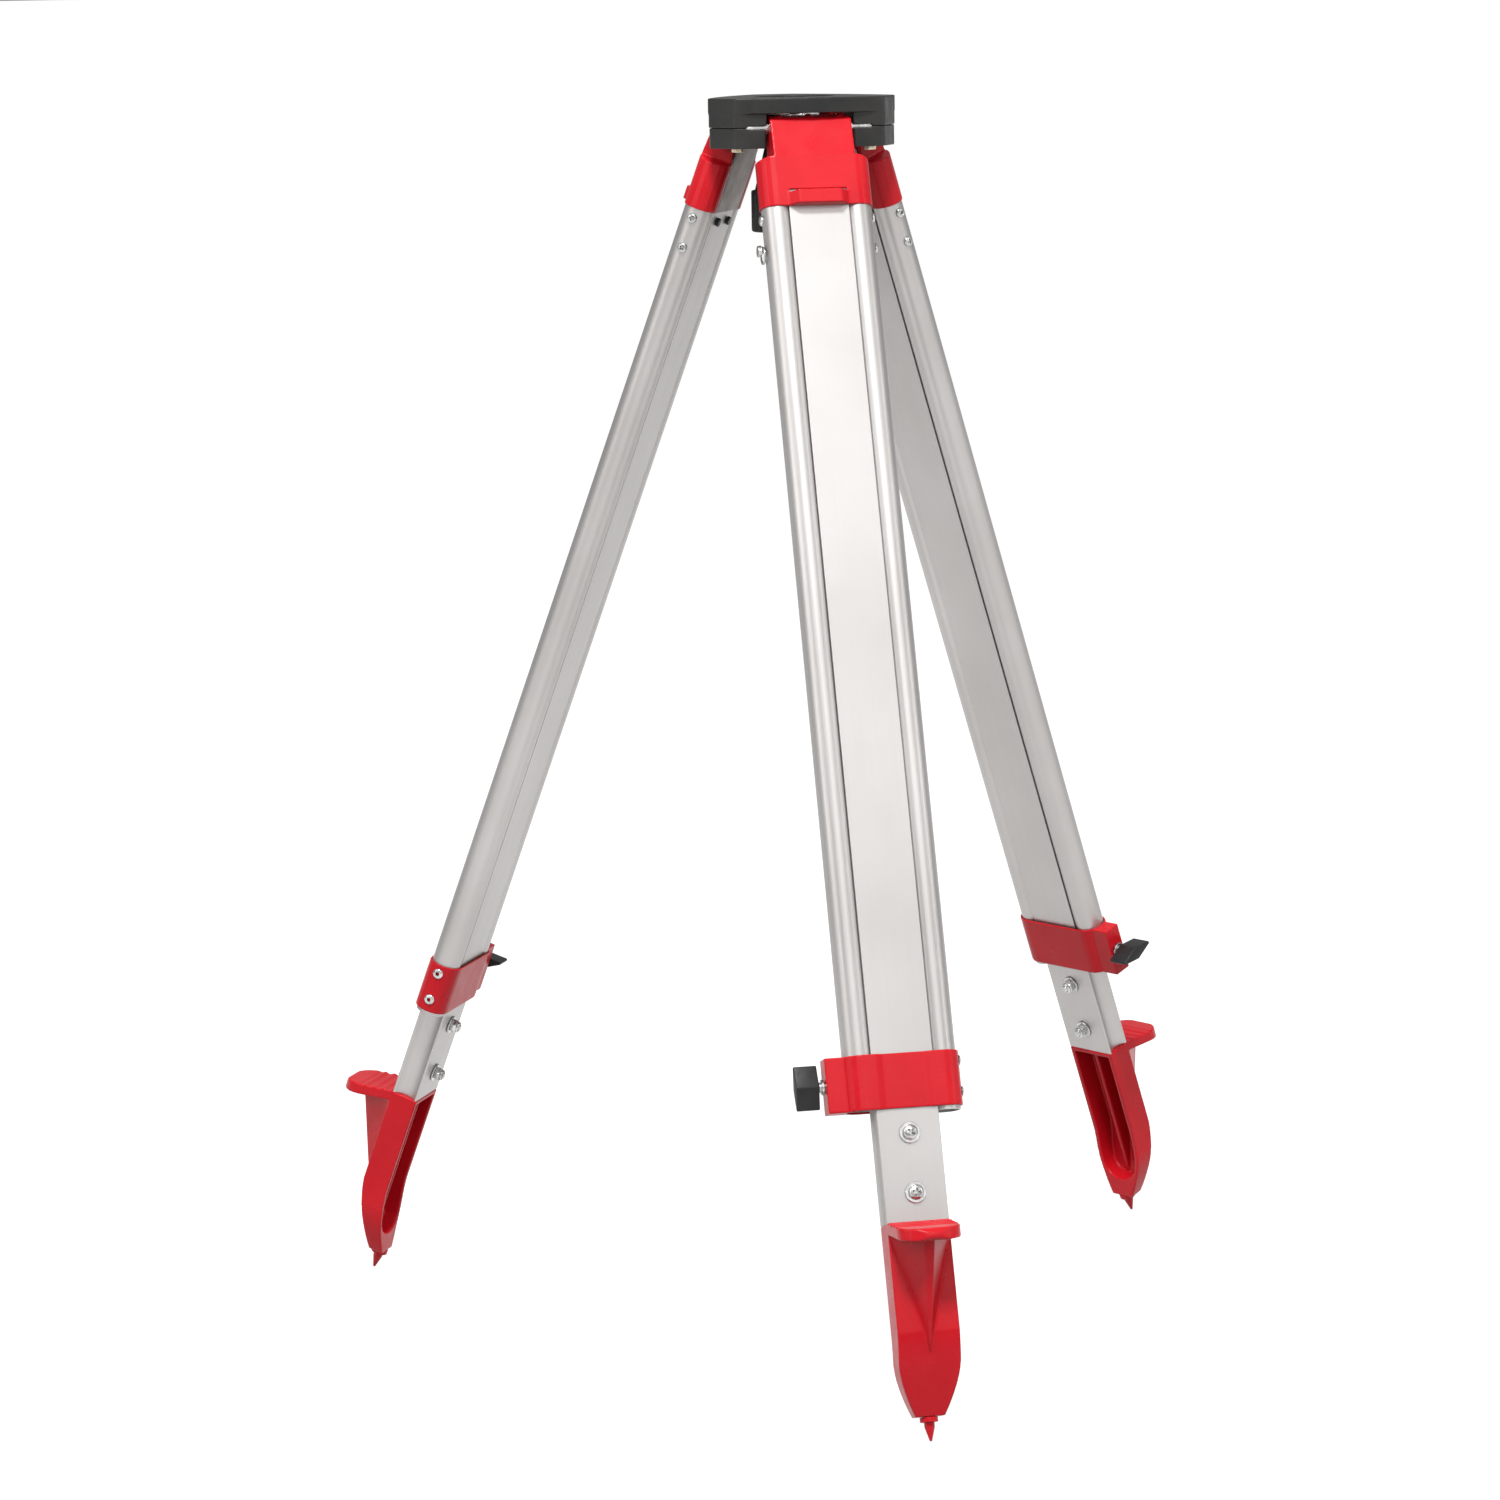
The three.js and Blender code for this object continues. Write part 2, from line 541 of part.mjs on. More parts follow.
const bend = (h) => Math.max(0, (BEND_TOP - h) / (BEND_TOP - FOOT_BOTTOM));
const middleAt = (h) => TIP_OFFSET * bend(h) ** 1.4;
const halfDepthAt = (h) => SLIDER_DEPTH / 2 + 0.5 - 5 * bend(h) ** 1.2;
const halfWidthAt = (h) => FOOT_HALF - 0.035 * Math.max(0, 58 - h) ** 1.6;

function footBlock() {
  const heights = [...steps(FOOT_BOTTOM, BEND_TOP, 8), FOOT_TOP];
  const front = heights.map((h) => [middleAt(h) + halfDepthAt(h), up(h)]);
  const back = heights.map((h) => [middleAt(h) - halfDepthAt(h), up(h)]).reverse();
  const sideView = prism("x", [...front, ...back], -FOOT_HALF - 1, FOOT_HALF + 1);
  const widths = [...steps(FOOT_BOTTOM, 58, 7), FOOT_TOP];
  const right = widths.map((h) => [up(h), halfWidthAt(h)]);
  const left = widths.map((h) => [up(h), -halfWidthAt(h)]).reverse();
  const frontView = prism("y", [...left, ...right], -60, 60);
  return sideView.intersect(frontView);
}

// The casting is open at the back, with a round-bottomed pocket on each side of a middle rib.
function footHollow() {
  const heights = [...steps(30, BEND_TOP, 6), FOOT_TOP - FOOT_WALL];
  const wall = heights.map((h) => [middleAt(h) + halfDepthAt(h) - FOOT_WALL, up(h)]);
  const depth = prism("x", [...wall, [-60, up(FOOT_TOP - FOOT_WALL)], [-60, up(30)]], -40, 40);
  const halfPocket = (h) => Math.min(halfWidthAt(h) - FOOT_WALL, FOOT_HALF - FOOT_WALL);
  const sideHeights = [...steps(50, 58, 2), FOOT_TOP - FOOT_WALL];
  const right = sideHeights.map((h) => [up(h), halfPocket(h)]);
  const left = sideHeights.map((h) => [up(h), -halfPocket(h)]).reverse();
  const bottomRound = arc(0, 0, halfPocket(50), 270, 90, 10).map(([x, y]) => [up(50) + x * 0.85, y]);
  const view = prism("y", [...right, ...left, ...bottomRound.slice(1, -1)], -60, 60);
  const rib = box([-1.8, 1.8], [-7, 20], [up(30), up(FOOT_TOP)]);
  return depth.intersect(view).subtract(rib);
}

const pedalUnderside = (y) => PEDAL_ROOT - PEDAL_SLOPE * (y - 11);

// A tread plate that slopes down outwards, with anti-slip waves across the middle of its top.
function pedal() {
  const round = arc(0, 0, 1, 0, 180, 12).map(([x, y]) => [x * FOOT_HALF, 40 + y * (PEDAL_TIP - 40)]);
  const range = [up(PEDAL_ROOT - 20), up(PEDAL_ROOT + 20)];
  const plan = prism("z", [[-FOOT_HALF, 9], [FOOT_HALF, 9], ...round], ...range);
  const waves = (y) => (y < 41 ? 0.8 * Math.cos(((y - 12) / 8) * 2 * Math.PI) - 0.4 : 0);
  const topAt = (y) => pedalUnderside(y) + PEDAL_THICKNESS + waves(y);
  const top = steps(PEDAL_TIP - 3, 13, 24).map((y) => [y, up(topAt(y))]);
  const side = [
    [9, up(PEDAL_ROOT)],
    [11, up(PEDAL_ROOT)],
    [PEDAL_TIP - 3, up(pedalUnderside(PEDAL_TIP - 3))],
    [PEDAL_TIP, up(pedalUnderside(PEDAL_TIP) + 3)],
    [PEDAL_TIP, up(topAt(PEDAL_TIP) - 3)],
    ...top,
    [11.5, up(PEDAL_ROOT + 9)],
    [11.5, up(FOOT_TOP)],
    [9, up(FOOT_TOP)],
  ];
  return plan.intersect(prism("x", side, -40, 40));
}

function gusset() {
  const root = PEDAL_ROOT + 1;
  const corners = [
    [0, 9, GUSSET_BOTTOM],
    [0, 11.5, GUSSET_BOTTOM],
    ...BOTH_SIDES.flatMap((side) => [
      [side * (FOOT_HALF - 0.5), 9, root],
      [side * (FOOT_HALF - 0.5), 11.5, root],
      [side * 3.7, 42, pedalUnderside(42) + 1],
    ]),
  ];
  return solid(new ConvexGeometry(corners.map(([x, y, h]) => new THREE.Vector3(x, y, up(h)))));
}

function foot() {
  const spigot = box([-17.4, 17.4], [-8.9, 8.9], [up(FOOT_TOP - 3), up(245)]);
  const bolts = Object.values(FOOT_BOLTS).map((h) => cylinder("y", [up(h), 0], 3 + GAP, -20, 20, 12));
  const spikeHole = cylinder("z", [0, TIP_OFFSET], 3 + GAP, up(FOOT_BOTTOM - 1), up(29.5), 12);
  return cut(join(cut(footBlock(), footHollow()), pedal(), gusset(), spigot), ...bolts, spikeHole);
}

function spike() {
  return turned([[0, 0], [1, 0.8], [4, 11], [4, 14], [7, 14.6], [7, FOOT_BOTTOM - GAP], [3, FOOT_BOTTOM - GAP],
    [3, 29], [0, 29]], 16).translate([0, TIP_OFFSET, -LEG_LENGTH]);
}

// Pan head and washer in front, washer and locking nut behind.
function footBolt(h) {
  const at = [up(h), 0];
  const face = SLIDER_DEPTH / 2 + GAP;
  return join(
    cylinder("y", at, 3, -face - 11, face + 1, 12),
    cylinder("y", at, 8, face, face + 1.4, 20),
    cylinder("y", at, 5.7, face, face + 5.2, 16),
    cylinder("y", at, 7.4, -face - 1.4, -face, 20),
    cylinder("y", at, 5.7, -face - 8.5, -face, 6),
  );
}

// ---------------------------------------------------------------- strap ring on leg a
const RING_SCREW = { x: TUBE_OFFSET + TUBE_RADIUS, start: 100.7 };
const RING_RADIUS = 6.5;
const RING_WIRE = 0.8;

function ringScrew() {
  const at = [0, down(RING_SCREW.start)];
  return join(
    cylinder("x", at, 2, RING_SCREW.x + GAP, RING_SCREW.x + 4.5, 12),
    cylinder("x", at, 4.6, RING_SCREW.x + 3, RING_SCREW.x + 6, 16),
  );
}

// The ring hangs plumb from the screw's neck, so it is made in a frame that undoes the leg's lean.
function strapRing() {
  const torus = new THREE.TorusGeometry(RING_RADIUS, RING_WIRE, 8, 24).rotateY(Math.PI / 2);
  return solid(torus.translate(0, 0, -RING_RADIUS + RING_WIRE + 2 + GAP));
}

// ---------------------------------------------------------------- assembly
const tripod = new THREE.Group();

const head = new THREE.Group();
head.add(mesh("head_plate", headPlate(), BLACK_CASTING));
CORNER_AZIMUTHS.forEach((azimuth, i) => {
  head.add(mesh(`bearing_cap_${i + 1}`, bearingCap(azimuth), BLACK_CASTING));
  head.add(mesh(`cap_bolt_${i + 1}`, capBolt(azimuth), YELLOW_ZINC));
});

const armGroup = new THREE.Group();
armGroup.position.set(...onArm(0), 0);
armGroup.rotation.z = THREE.MathUtils.degToRad(ARM_AZIMUTH);
armGroup.add(mesh("swing_arm", swingArm(), ZINC), mesh("arm_pivot", armPivot(), ZINC));
const screwGroup = new THREE.Group();
screwGroup.position.x = -SLOT_END;
screwGroup.add(
  mesh("slide_bush", slideBush(), ZINC),
  mesh("thrust_washer", thrustWasher(), ZINC),
  mesh("centre_screw", centreScrew(), BRASS),
  mesh("screw_knob", screwKnob(), BLACK_PLASTIC),
);
armGroup.add(screwGroup);
head.add(armGroup);

function legGroup(name) {
  const leg = new THREE.Group();
  leg.add(
    mesh(`bracket_${name}`, bracket(), RED_PAINT),
    mesh(`back_plate_${name}`, backPlate(), ALUMINIUM),
    mesh(`clamp_side_tube_${name}`, tube(1), ALUMINIUM),
    mesh(`rivet_side_tube_${name}`, tube(-1), ALUMINIUM),
    mesh(`clamp_band_${name}`, clampBand(), RED_PAINT),
    mesh(`clamp_pad_${name}`, clampPad(), ZINC),
    mesh(`clamp_screw_${name}`, clampScrew(), ZINC),
    mesh(`clamp_knob_${name}`, clampKnob(name), BLACK_PLASTIC),
    mesh(`lower_leg_${name}`, lowerLeg(), ALUMINIUM),
    mesh(`slide_stop_${name}`, slideStop(), BLACK_PLASTIC),
    mesh(`foot_${name}`, foot(), RED_PAINT),
    mesh(`spike_${name}`, spike(), RED_PAINT),
  );
  Object.entries(FOOT_BOLTS).forEach(([which, h]) => {
    leg.add(mesh(`foot_bolt_${which}_${name}`, footBolt(h), ZINC));
  });
  return leg;
}

Object.entries(LEG_AZIMUTHS).forEach(([name, azimuth]) => {
  const station = new THREE.Group();
  station.rotation.z = THREE.MathUtils.degToRad(azimuth - 90);
  const hinge = new THREE.Group();
  hinge.position.y = HINGE_RADIUS;
  hinge.add(mesh(`hinge_shaft_${name}`, cylinder("x", [0, 0], SHAFT_RADIUS, -SHAFT_HALF, SHAFT_HALF, 20), ZINC));
  const leg = legGroup(name);
  leg.rotation.x = SPREAD;
  if (name === "a") {
    leg.add(mesh("ring_screw", ringScrew(), ZINC));
    const hanger = new THREE.Group();
    hanger.position.set(RING_SCREW.x + 1.7, 0, down(RING_SCREW.start));
    hanger.rotation.x = -SPREAD;
    hanger.add(mesh("strap_ring", strapRing(), ZINC));
    leg.add(hanger);
  }
  hinge.add(leg);
  station.add(hinge);
  head.add(station);
});
tripod.add(head);

const extent = new THREE.Box3().setFromObject(tripod, true);
const centre = extent.getCenter(new THREE.Vector3());
head.position.set(-centre.x, -centre.y, -extent.min.z);

export default tripod;
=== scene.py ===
"""Surveyor's tripod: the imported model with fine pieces, procedural materials, light and camera."""
import json
import math

import bmesh
import bpy
from mathutils import Matrix, Vector


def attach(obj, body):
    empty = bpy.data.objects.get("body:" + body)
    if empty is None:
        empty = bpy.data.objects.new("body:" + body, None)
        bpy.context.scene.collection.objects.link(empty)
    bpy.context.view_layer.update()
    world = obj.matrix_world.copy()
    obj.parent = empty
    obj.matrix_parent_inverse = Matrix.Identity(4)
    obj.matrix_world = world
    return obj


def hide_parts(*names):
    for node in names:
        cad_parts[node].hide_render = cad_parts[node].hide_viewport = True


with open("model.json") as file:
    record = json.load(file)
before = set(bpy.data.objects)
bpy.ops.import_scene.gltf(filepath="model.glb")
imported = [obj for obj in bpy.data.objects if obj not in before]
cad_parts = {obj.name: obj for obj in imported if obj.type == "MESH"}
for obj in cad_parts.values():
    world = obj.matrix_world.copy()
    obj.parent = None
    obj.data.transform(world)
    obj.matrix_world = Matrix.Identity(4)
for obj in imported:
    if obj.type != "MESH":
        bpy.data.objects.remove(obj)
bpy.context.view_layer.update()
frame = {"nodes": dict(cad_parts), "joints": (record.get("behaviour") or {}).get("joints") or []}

NODES = frame["nodes"]
JOINTS = {joint["name"]: joint for joint in frame["joints"]}
LEGS = ("a", "b", "c")
MM = 0.001
WELD_DISTANCE = 0.002 * MM  # corners closer than this are one corner

# The camera and what it looks at, in metres from the middle of the three hinges.
CAMERA_PLACE = Vector((-0.826, -3.5642, 0.1109))
CAMERA_AIM = Vector((-0.0529, -0.0386, -0.4938))
CAMERA_ROLL = -0.0159
CAMERA_LENS = 109.7  # millimetres on a 36 mm wide sensor

# Dimensions shared with the CAD model, in millimetres, in a leg's own frame:
# X along the hinge towards the clamp screw, Y outwards, Z up the leg, origin on the hinge axis.
TUBE_RADIUS = 12.0
TUBE_WALL = 1.5
TUBE_OFFSET = 32.0
TUBE_TOP = -30.0
TUBE_BOTTOMS = {"clamp_side": -774.0, "rivet_side": -778.5}
SIDE_SCREWS = (-75.9, -100.7)
RIVETS = (-741.0, -764.7)
BAND_END = TUBE_OFFSET + TUBE_RADIUS + 1.9
CLAMP_AXIS = (-1.5, -754.5)
KNOB_SPAN = (64.0, 82.0)
COLLAR_SPAN = (60.0, 61.8)
KNOB_TURN = {"a": 0, "b": 73, "c": 96}
FOOT_BOLTS = {"upper": -794.0, "lower": -839.0}
SLIDER_FACE = 11.3
WASHER_THICKNESS = 1.4
BOLT_RADIUS = 3.0

# Heights and radii of the centre screw and its knob, from the height of the screw's joint.
SCREW_KNOB = {"radius": 20.0, "top": -50.0, "bottom": -83.0}
KNOB_NECK = {"root": 17.0, "waist": 13.5, "waist_height": -36.0, "end": 8.5, "top": -15.0}
KNOB_FLUTES = {"count": 18, "radius": 1.7, "stand_off": 0.9, "stop": 3.0}
CENTRE_SCREW = {"stem": 4.8, "stem_bottom": -44.8, "neck": 6.5, "top": 22.0}
SCREW_FLANGE = {"radius": 9.0, "bottom": -14.8, "top": -10.6}
SCREW_THREAD = {"radius": 7.9, "depth": 1.3, "pitch": 2.31, "bottom": 10.0}
RING = {"radius": 6.5, "wire": 0.8, "middle": -3.4}

# The studio, in metres and watts: name, place, width, height and power of each light.
SOFTBOXES = (
    ("key", (-0.5, -1.9, 3.9), 0.6, 0.6, 150),
    ("front", (0.4, -3.2, 2.5), 2.4, 2.2, 30),
    ("left", (-3.2, -1.2, 2.2), 1.6, 2.4, 40),
    ("right", (3.2, -1.9, 1.9), 1.2, 2.2, 26),
)
LIGHTS_AIM = (0, 0, 0.55)
SKY_GREYS = ((0.2, 0.42), (0.5, 0.3), (0.85, 0.62))  # place from straight down to straight up, grey
FLOOR_SIZE = 3000
FLOOR_GLOW = 0.76


# ---------------------------------------------------------------- frames of the legs and of the head
def leg_frame(leg):
    """Matrix from a leg's own frame, in metres, to the row's frame."""
    fold = JOINTS[f"leg_fold_{leg}"]
    across = Vector(fold["axis"]).normalized()
    up = -Vector(JOINTS[f"leg_slide_{leg}"]["axis"]).normalized()
    out = up.cross(across)
    rotation = Matrix((across, out, up)).transposed()
    return Matrix.Translation(Vector(fold["pos_m"])) @ rotation.to_4x4()


LEG_FRAMES = {leg: leg_frame(leg) for leg in LEGS}
HINGE_MIDDLE = sum((Vector(JOINTS[f"leg_fold_{leg}"]["pos_m"]) for leg in LEGS), Vector()) / 3
SCREW_PLACE = Vector(JOINTS["screw_turn"]["pos_m"])


# ---------------------------------------------------------------- mesh helpers
def mesh_of(name, bm):
    bmesh.ops.recalc_face_normals(bm, faces=bm.faces)
    mesh = bpy.data.meshes.new(name)
    bm.to_mesh(mesh)
    bm.free()
    return mesh


def turned(name, profile, steps=64):
    """A turned solid about Z from [radius, z] points in millimetres, bottom first."""
    bm = bmesh.new()
    rings = []
    for radius, z in profile:
        if radius == 0:
            rings.append([bm.verts.new((0, 0, z * MM))])
            continue
        angles = [2 * math.pi * i / steps for i in range(steps)]
        ring = [(radius * math.cos(a) * MM, radius * math.sin(a) * MM, z * MM) for a in angles]
        rings.append([bm.verts.new(point) for point in ring])
    for lower, upper in zip(rings, rings[1:]):
        for i in range(steps):
            j = (i + 1) % steps
            corners = [lower[i % len(lower)], lower[j % len(lower)],
                       upper[j % len(upper)], upper[i % len(upper)]]
            unique = list(dict.fromkeys(corners))
            if len(unique) > 2:
                bm.faces.new(unique)
    return mesh_of(name, bm)


def prism(name, outline, low, high):
    """A prism of an [x, y] outline in millimetres between two heights."""
    bm = bmesh.new()
    bottom = [bm.verts.new((x * MM, y * MM, low * MM)) for x, y in outline]
    top = [bm.verts.new((x * MM, y * MM, high * MM)) for x, y in outline]
    bm.faces.new(bottom)
    bm.faces.new(top)
    for i in range(len(outline)):
        j = (i + 1) % len(outline)
        bm.faces.new((bottom[i], bottom[j], top[j], top[i]))
    return mesh_of(name, bm)


def threaded(name, radius, depth, pitch, low, high, steps=48):
    """A right-hand screw thread about Z, with tapering ends, closed by discs."""
    rows_per_turn = 10
    bm = bmesh.new()
    count = round((high - low) / pitch * rows_per_turn)
    rings = []
    for row in range(count + 1):
        z = low + (high - low) * row / count
        fade = min(1.0, (z - low) / pitch, (high - z) / pitch)
        ring = []
        for i in range(steps):
            angle = 2 * math.pi * i / steps
            wave = abs(((z / pitch - i / steps) % 1) * 2 - 1)
            r = radius - depth * (1 - fade * wave)
            ring.append(bm.verts.new((r * math.cos(angle) * MM, r * math.sin(angle) * MM, z * MM)))
        rings.append(ring)
    for lower, upper in zip(rings, rings[1:]):
        for i in range(steps):
            j = (i + 1) % steps
            bm.faces.new((lower[i], lower[j], upper[j], upper[i]))
    bm.faces.new(rings[0])
    bm.faces.new(rings[-1])
    return mesh_of(name, bm)


def torus(name, radius, wire, steps=64, sides=20):
    """A ring in the YZ plane."""
    bm = bmesh.new()
    rings = []
    for i in range(steps):
        around = 2 * math.pi * i / steps
        ring = []
        for j in range(sides):
            across = 2 * math.pi * j / sides
            r = radius + wire * math.cos(across)
            point = (wire * math.sin(across), r * math.cos(around), r * math.sin(around))
            ring.append(bm.verts.new([c * MM for c in point]))
        rings.append(ring)
    for i in range(steps):
        this, following = rings[i], rings[(i + 1) % steps]
        for j in range(sides):
            k = (j + 1) % sides
            bm.faces.new((this[j], this[k], following[k], following[j]))
    return mesh_of(name, bm)


def polygon(radius, steps):
    angles = [2 * math.pi * i / steps for i in range(steps)]
    return [(radius * math.cos(a), radius * math.sin(a)) for a in angles]


def join(name, *meshes):
    bm = bmesh.new()
    for mesh in meshes:
        bm.from_mesh(mesh)
    joined = bpy.data.meshes.new(name)
    bm.to_mesh(joined)
    bm.free()
    return joined


def finished(mesh, change):
    """The mesh after change(object) has put modifiers on an object that holds it."""
    obj = bpy.data.objects.new("work", mesh)
    bpy.context.scene.collection.objects.link(obj)
    change(obj)
    bpy.context.view_layer.update()
    evaluated = obj.evaluated_get(bpy.context.evaluated_depsgraph_get())
    result = bpy.data.meshes.new_from_object(evaluated)
    result.name = mesh.name
    bpy.data.objects.remove(obj)
    return result


def without(mesh, *tools):
    """The mesh with the tools' solids cut away."""
    holders = []

    def cuts(obj):
        for tool in tools:
            holder = bpy.data.objects.new("tool", tool)
            bpy.context.scene.collection.objects.link(holder)
            holders.append(holder)
            modifier = obj.modifiers.new("cut", "BOOLEAN")
            modifier.operation = "DIFFERENCE"
            modifier.solver = "EXACT"
            modifier.object = holder

    result = finished(mesh, cuts)
    for holder in holders:
        bpy.data.objects.remove(holder)
    return result


def bevelled(mesh, width, segments, angle):
    def bevel(obj):
        modifier = obj.modifiers.new("bevel", "BEVEL")
        modifier.width = width * MM
        modifier.segments = segments
        modifier.limit_method = "ANGLE"
        modifier.angle_limit = math.radians(angle)

    return finished(mesh, bevel)


def smooth(mesh, angle=40):
    mesh.shade_smooth()
    mesh.set_sharp_from_angle(angle=math.radians(angle))
    return mesh


def soften(node, width):
    """Rounds a carried-over node's edges, with its flat facets first merged into whole faces."""
    obj = NODES[node]
    obj.data.shade_smooth()
    if "custom_normal" in obj.data.attributes:
        obj.data.attributes.remove(obj.data.attributes["custom_normal"])
    weld = obj.modifiers.new("weld", "WELD")
    weld.merge_threshold = WELD_DISTANCE
    merge = obj.modifiers.new("merge", "DECIMATE")
    merge.decimate_type = "DISSOLVE"
    merge.angle_limit = math.radians(1)
    bevel = obj.modifiers.new("bevel", "BEVEL")
    bevel.width = width * MM
    bevel.segments = 3
    bevel.limit_method = "ANGLE"
    bevel.angle_limit = math.radians(28)
    bevel.use_clamp_overlap = False
    normals = obj.modifiers.new("normals", "WEIGHTED_NORMAL")
    normals.keep_sharp = True


def cast(node, local, voxel, relax, kept):
    """A node's solid remeshed finely and relaxed, so that it has a casting's soft corners and fillets.

    voxel is the fine faces' size in millimetres, relax how many times they are smoothed, and kept
    the share of them that stays when the flat areas are thinned out."""
    mesh = NODES[node].data.copy()
    mesh.transform(local.inverted())

    def remesh(obj):
        weld = obj.modifiers.new("weld", "WELD")
        weld.merge_threshold = WELD_DISTANCE
        voxels = obj.modifiers.new("voxels", "REMESH")
        voxels.mode = "VOXEL"
        voxels.voxel_size = voxel * MM
        soft = obj.modifiers.new("soft", "SMOOTH")
        soft.factor = 0.5
        soft.iterations = relax
        thin = obj.modifiers.new("thin", "DECIMATE")
        thin.ratio = kept

    result = finished(mesh, remesh)
    result.materials.clear()
    result.shade_smooth()
    return result


def place(name, mesh, matrix, body, look, replaces=()):
    """Adds a piece whose mesh is moved into place, so that its object coordinates are the row's."""
    mesh = mesh.copy()
    mesh.transform(matrix)
    if not mesh.materials:
        mesh.materials.append(look)
    obj = bpy.data.objects.new(name, mesh)
    bpy.context.scene.collection.objects.link(obj)
    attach(obj, body)
    if replaces:
        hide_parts(*replaces)
    return obj


def towards(direction):
    """Rotation that takes +Z to a direction."""
    return Vector(direction).to_track_quat("Z", "Y").to_matrix().to_4x4()


def at(x, y, z):
    return Matrix.Translation(Vector((x, y, z)) * MM)


# ---------------------------------------------------------------- materials
class Look:
    """A procedural material on one Principled shader."""

    def __init__(self, name, color, roughness, metallic=0.0):
        self.material = bpy.data.materials.new(name)
        self.material.use_nodes = True
        self.tree = self.material.node_tree
        self.shader = self.tree.nodes["Principled BSDF"]
        self.shader.inputs["Metallic"].default_value = metallic
        self.shader.inputs["Roughness"].default_value = roughness
        self.shader.inputs["Base Color"].default_value = (*color, 1)
        self.coordinates = self.tree.nodes.new("ShaderNodeTexCoord").outputs["Object"]

    def link(self, source, target):
        self.tree.links.new(source, target)

    def mapped(self, matrix, scale):
        """Object coordinates, turned into a leg's own frame and stretched."""
        node = self.tree.nodes.new("ShaderNodeMapping")
        node.vector_type = "POINT"
        node.inputs["Rotation"].default_value = matrix.inverted().to_euler()
        self.link(self.coordinates, node.inputs["Vector"])
        stretch = self.tree.nodes.new("ShaderNodeMapping")
        stretch.vector_type = "POINT"
        stretch.inputs["Scale"].default_value = scale
        self.link(node.outputs["Vector"], stretch.inputs["Vector"])
        return stretch.outputs["Vector"]

    def noise(self, scale, detail, vector=None):
        node = self.tree.nodes.new("ShaderNodeTexNoise")
        node.inputs["Scale"].default_value = scale
        node.inputs["Detail"].default_value = detail
        self.link(vector or self.coordinates, node.inputs["Vector"])
        return node.outputs["Fac"]

    def ramp(self, value, *stops):
        node = self.tree.nodes.new("ShaderNodeValToRGB")
        elements = node.color_ramp.elements
        while len(elements) < len(stops):
            elements.new(0.5)
        for element, (place_on_ramp, color) in zip(elements, stops):
            element.position = place_on_ramp
            element.color = (*color, 1)
        self.link(value, node.inputs["Fac"])
        return node.outputs["Color"]

    def spread(self, value, low, high):
        """The middle of a noise's range stretched over low to high."""
        node = self.tree.nodes.new("ShaderNodeMapRange")
        node.inputs["From Min"].default_value = 0.3
        node.inputs["From Max"].default_value = 0.7
        node.inputs["To Min"].default_value = low
        node.inputs["To Max"].default_value = high
        self.link(value, node.inputs["Value"])
        return node.outputs["Result"]

    def bump(self, value, strength, depth):
        node = self.tree.nodes.new("ShaderNodeBump")
        node.inputs["Strength"].default_value = strength
        node.inputs["Distance"].default_value = depth * MM
        self.link(value, node.inputs["Height"])
        self.link(node.outputs["Normal"], self.shader.inputs["Normal"])


def red_paint():
    """Gloss powder coat: slightly uneven in colour, with a faint orange peel."""
    look = Look("red_paint", (0.5, 0.006, 0.012), 0.3)
    tint = look.noise(18, 4)
    look.link(look.ramp(tint, (0.3, (0.46, 0.004, 0.011)), (0.7, (0.54, 0.007, 0.014))),
              look.shader.inputs["Base Color"])
    look.link(look.spread(look.noise(60, 3), 0.26, 0.36), look.shader.inputs["Roughness"])
    look.shader.inputs["Specular IOR Level"].default_value = 0.2
    look.bump(look.noise(420, 2), 0.18, 0.12)
    return look.material


def black_casting():
    """Satin black paint over a sand casting's grain."""
    look = Look("black_casting", (0.014, 0.014, 0.014), 0.42)
    tint = look.noise(25, 5)
    look.link(look.ramp(tint, (0.3, (0.010, 0.010, 0.010)), (0.72, (0.022, 0.021, 0.020))),
              look.shader.inputs["Base Color"])
    look.link(look.spread(look.noise(90, 4), 0.34, 0.48), look.shader.inputs["Roughness"])
    look.shader.inputs["Specular IOR Level"].default_value = 0.3
    look.bump(look.noise(900, 4), 0.3, 0.15)
    return look.material


def aluminium(leg):
    """Matte anodised extrusion, with fine draw lines down the leg."""
    look = Look(f"aluminium_{leg}", (0.44, 0.425, 0.415), 0.42, 0.85)
    lines = look.noise(1, 4, look.mapped(LEG_FRAMES[leg], (900, 900, 6)))
    cloud = look.noise(7, 3)
    look.link(look.ramp(cloud, (0.3, (0.405, 0.39, 0.38)), (0.7, (0.465, 0.452, 0.443))),
              look.shader.inputs["Base Color"])
    look.link(look.spread(lines, 0.36, 0.47), look.shader.inputs["Roughness"])
    look.bump(lines, 0.12, 0.06)
    return look.material


def shade_darkened_cast_aluminium():
    """Bare rough casting, its colour darkened well below the legs' aluminium as painted shade for the inner
    side that it sits on.
    """
    look = Look("shade_darkened_cast_aluminium", (0.5, 0.49, 0.48), 0.55, 0.8)
    # Mottled and dark throughout: painted shade laid over the casting's own random mottle.
    look.link(look.ramp(look.noise(60, 5), (0.3, (0.20, 0.18, 0.17)), (0.7, (0.34, 0.315, 0.30))),
              look.shader.inputs["Base Color"])
    look.bump(look.noise(420, 5), 0.5, 0.3)
    return look.material


def plated(name, dark, light):
    """Zinc plate: mottled, bright and a little uneven."""
    look = Look(name, light, 0.3, 1.0)
    look.link(look.ramp(look.noise(140, 4), (0.3, dark), (0.7, light)), look.shader.inputs["Base Color"])
    look.link(look.spread(look.noise(300, 3), 0.2, 0.42), look.shader.inputs["Roughness"])
    look.bump(look.noise(700, 3), 0.1, 0.05)
    return look.material


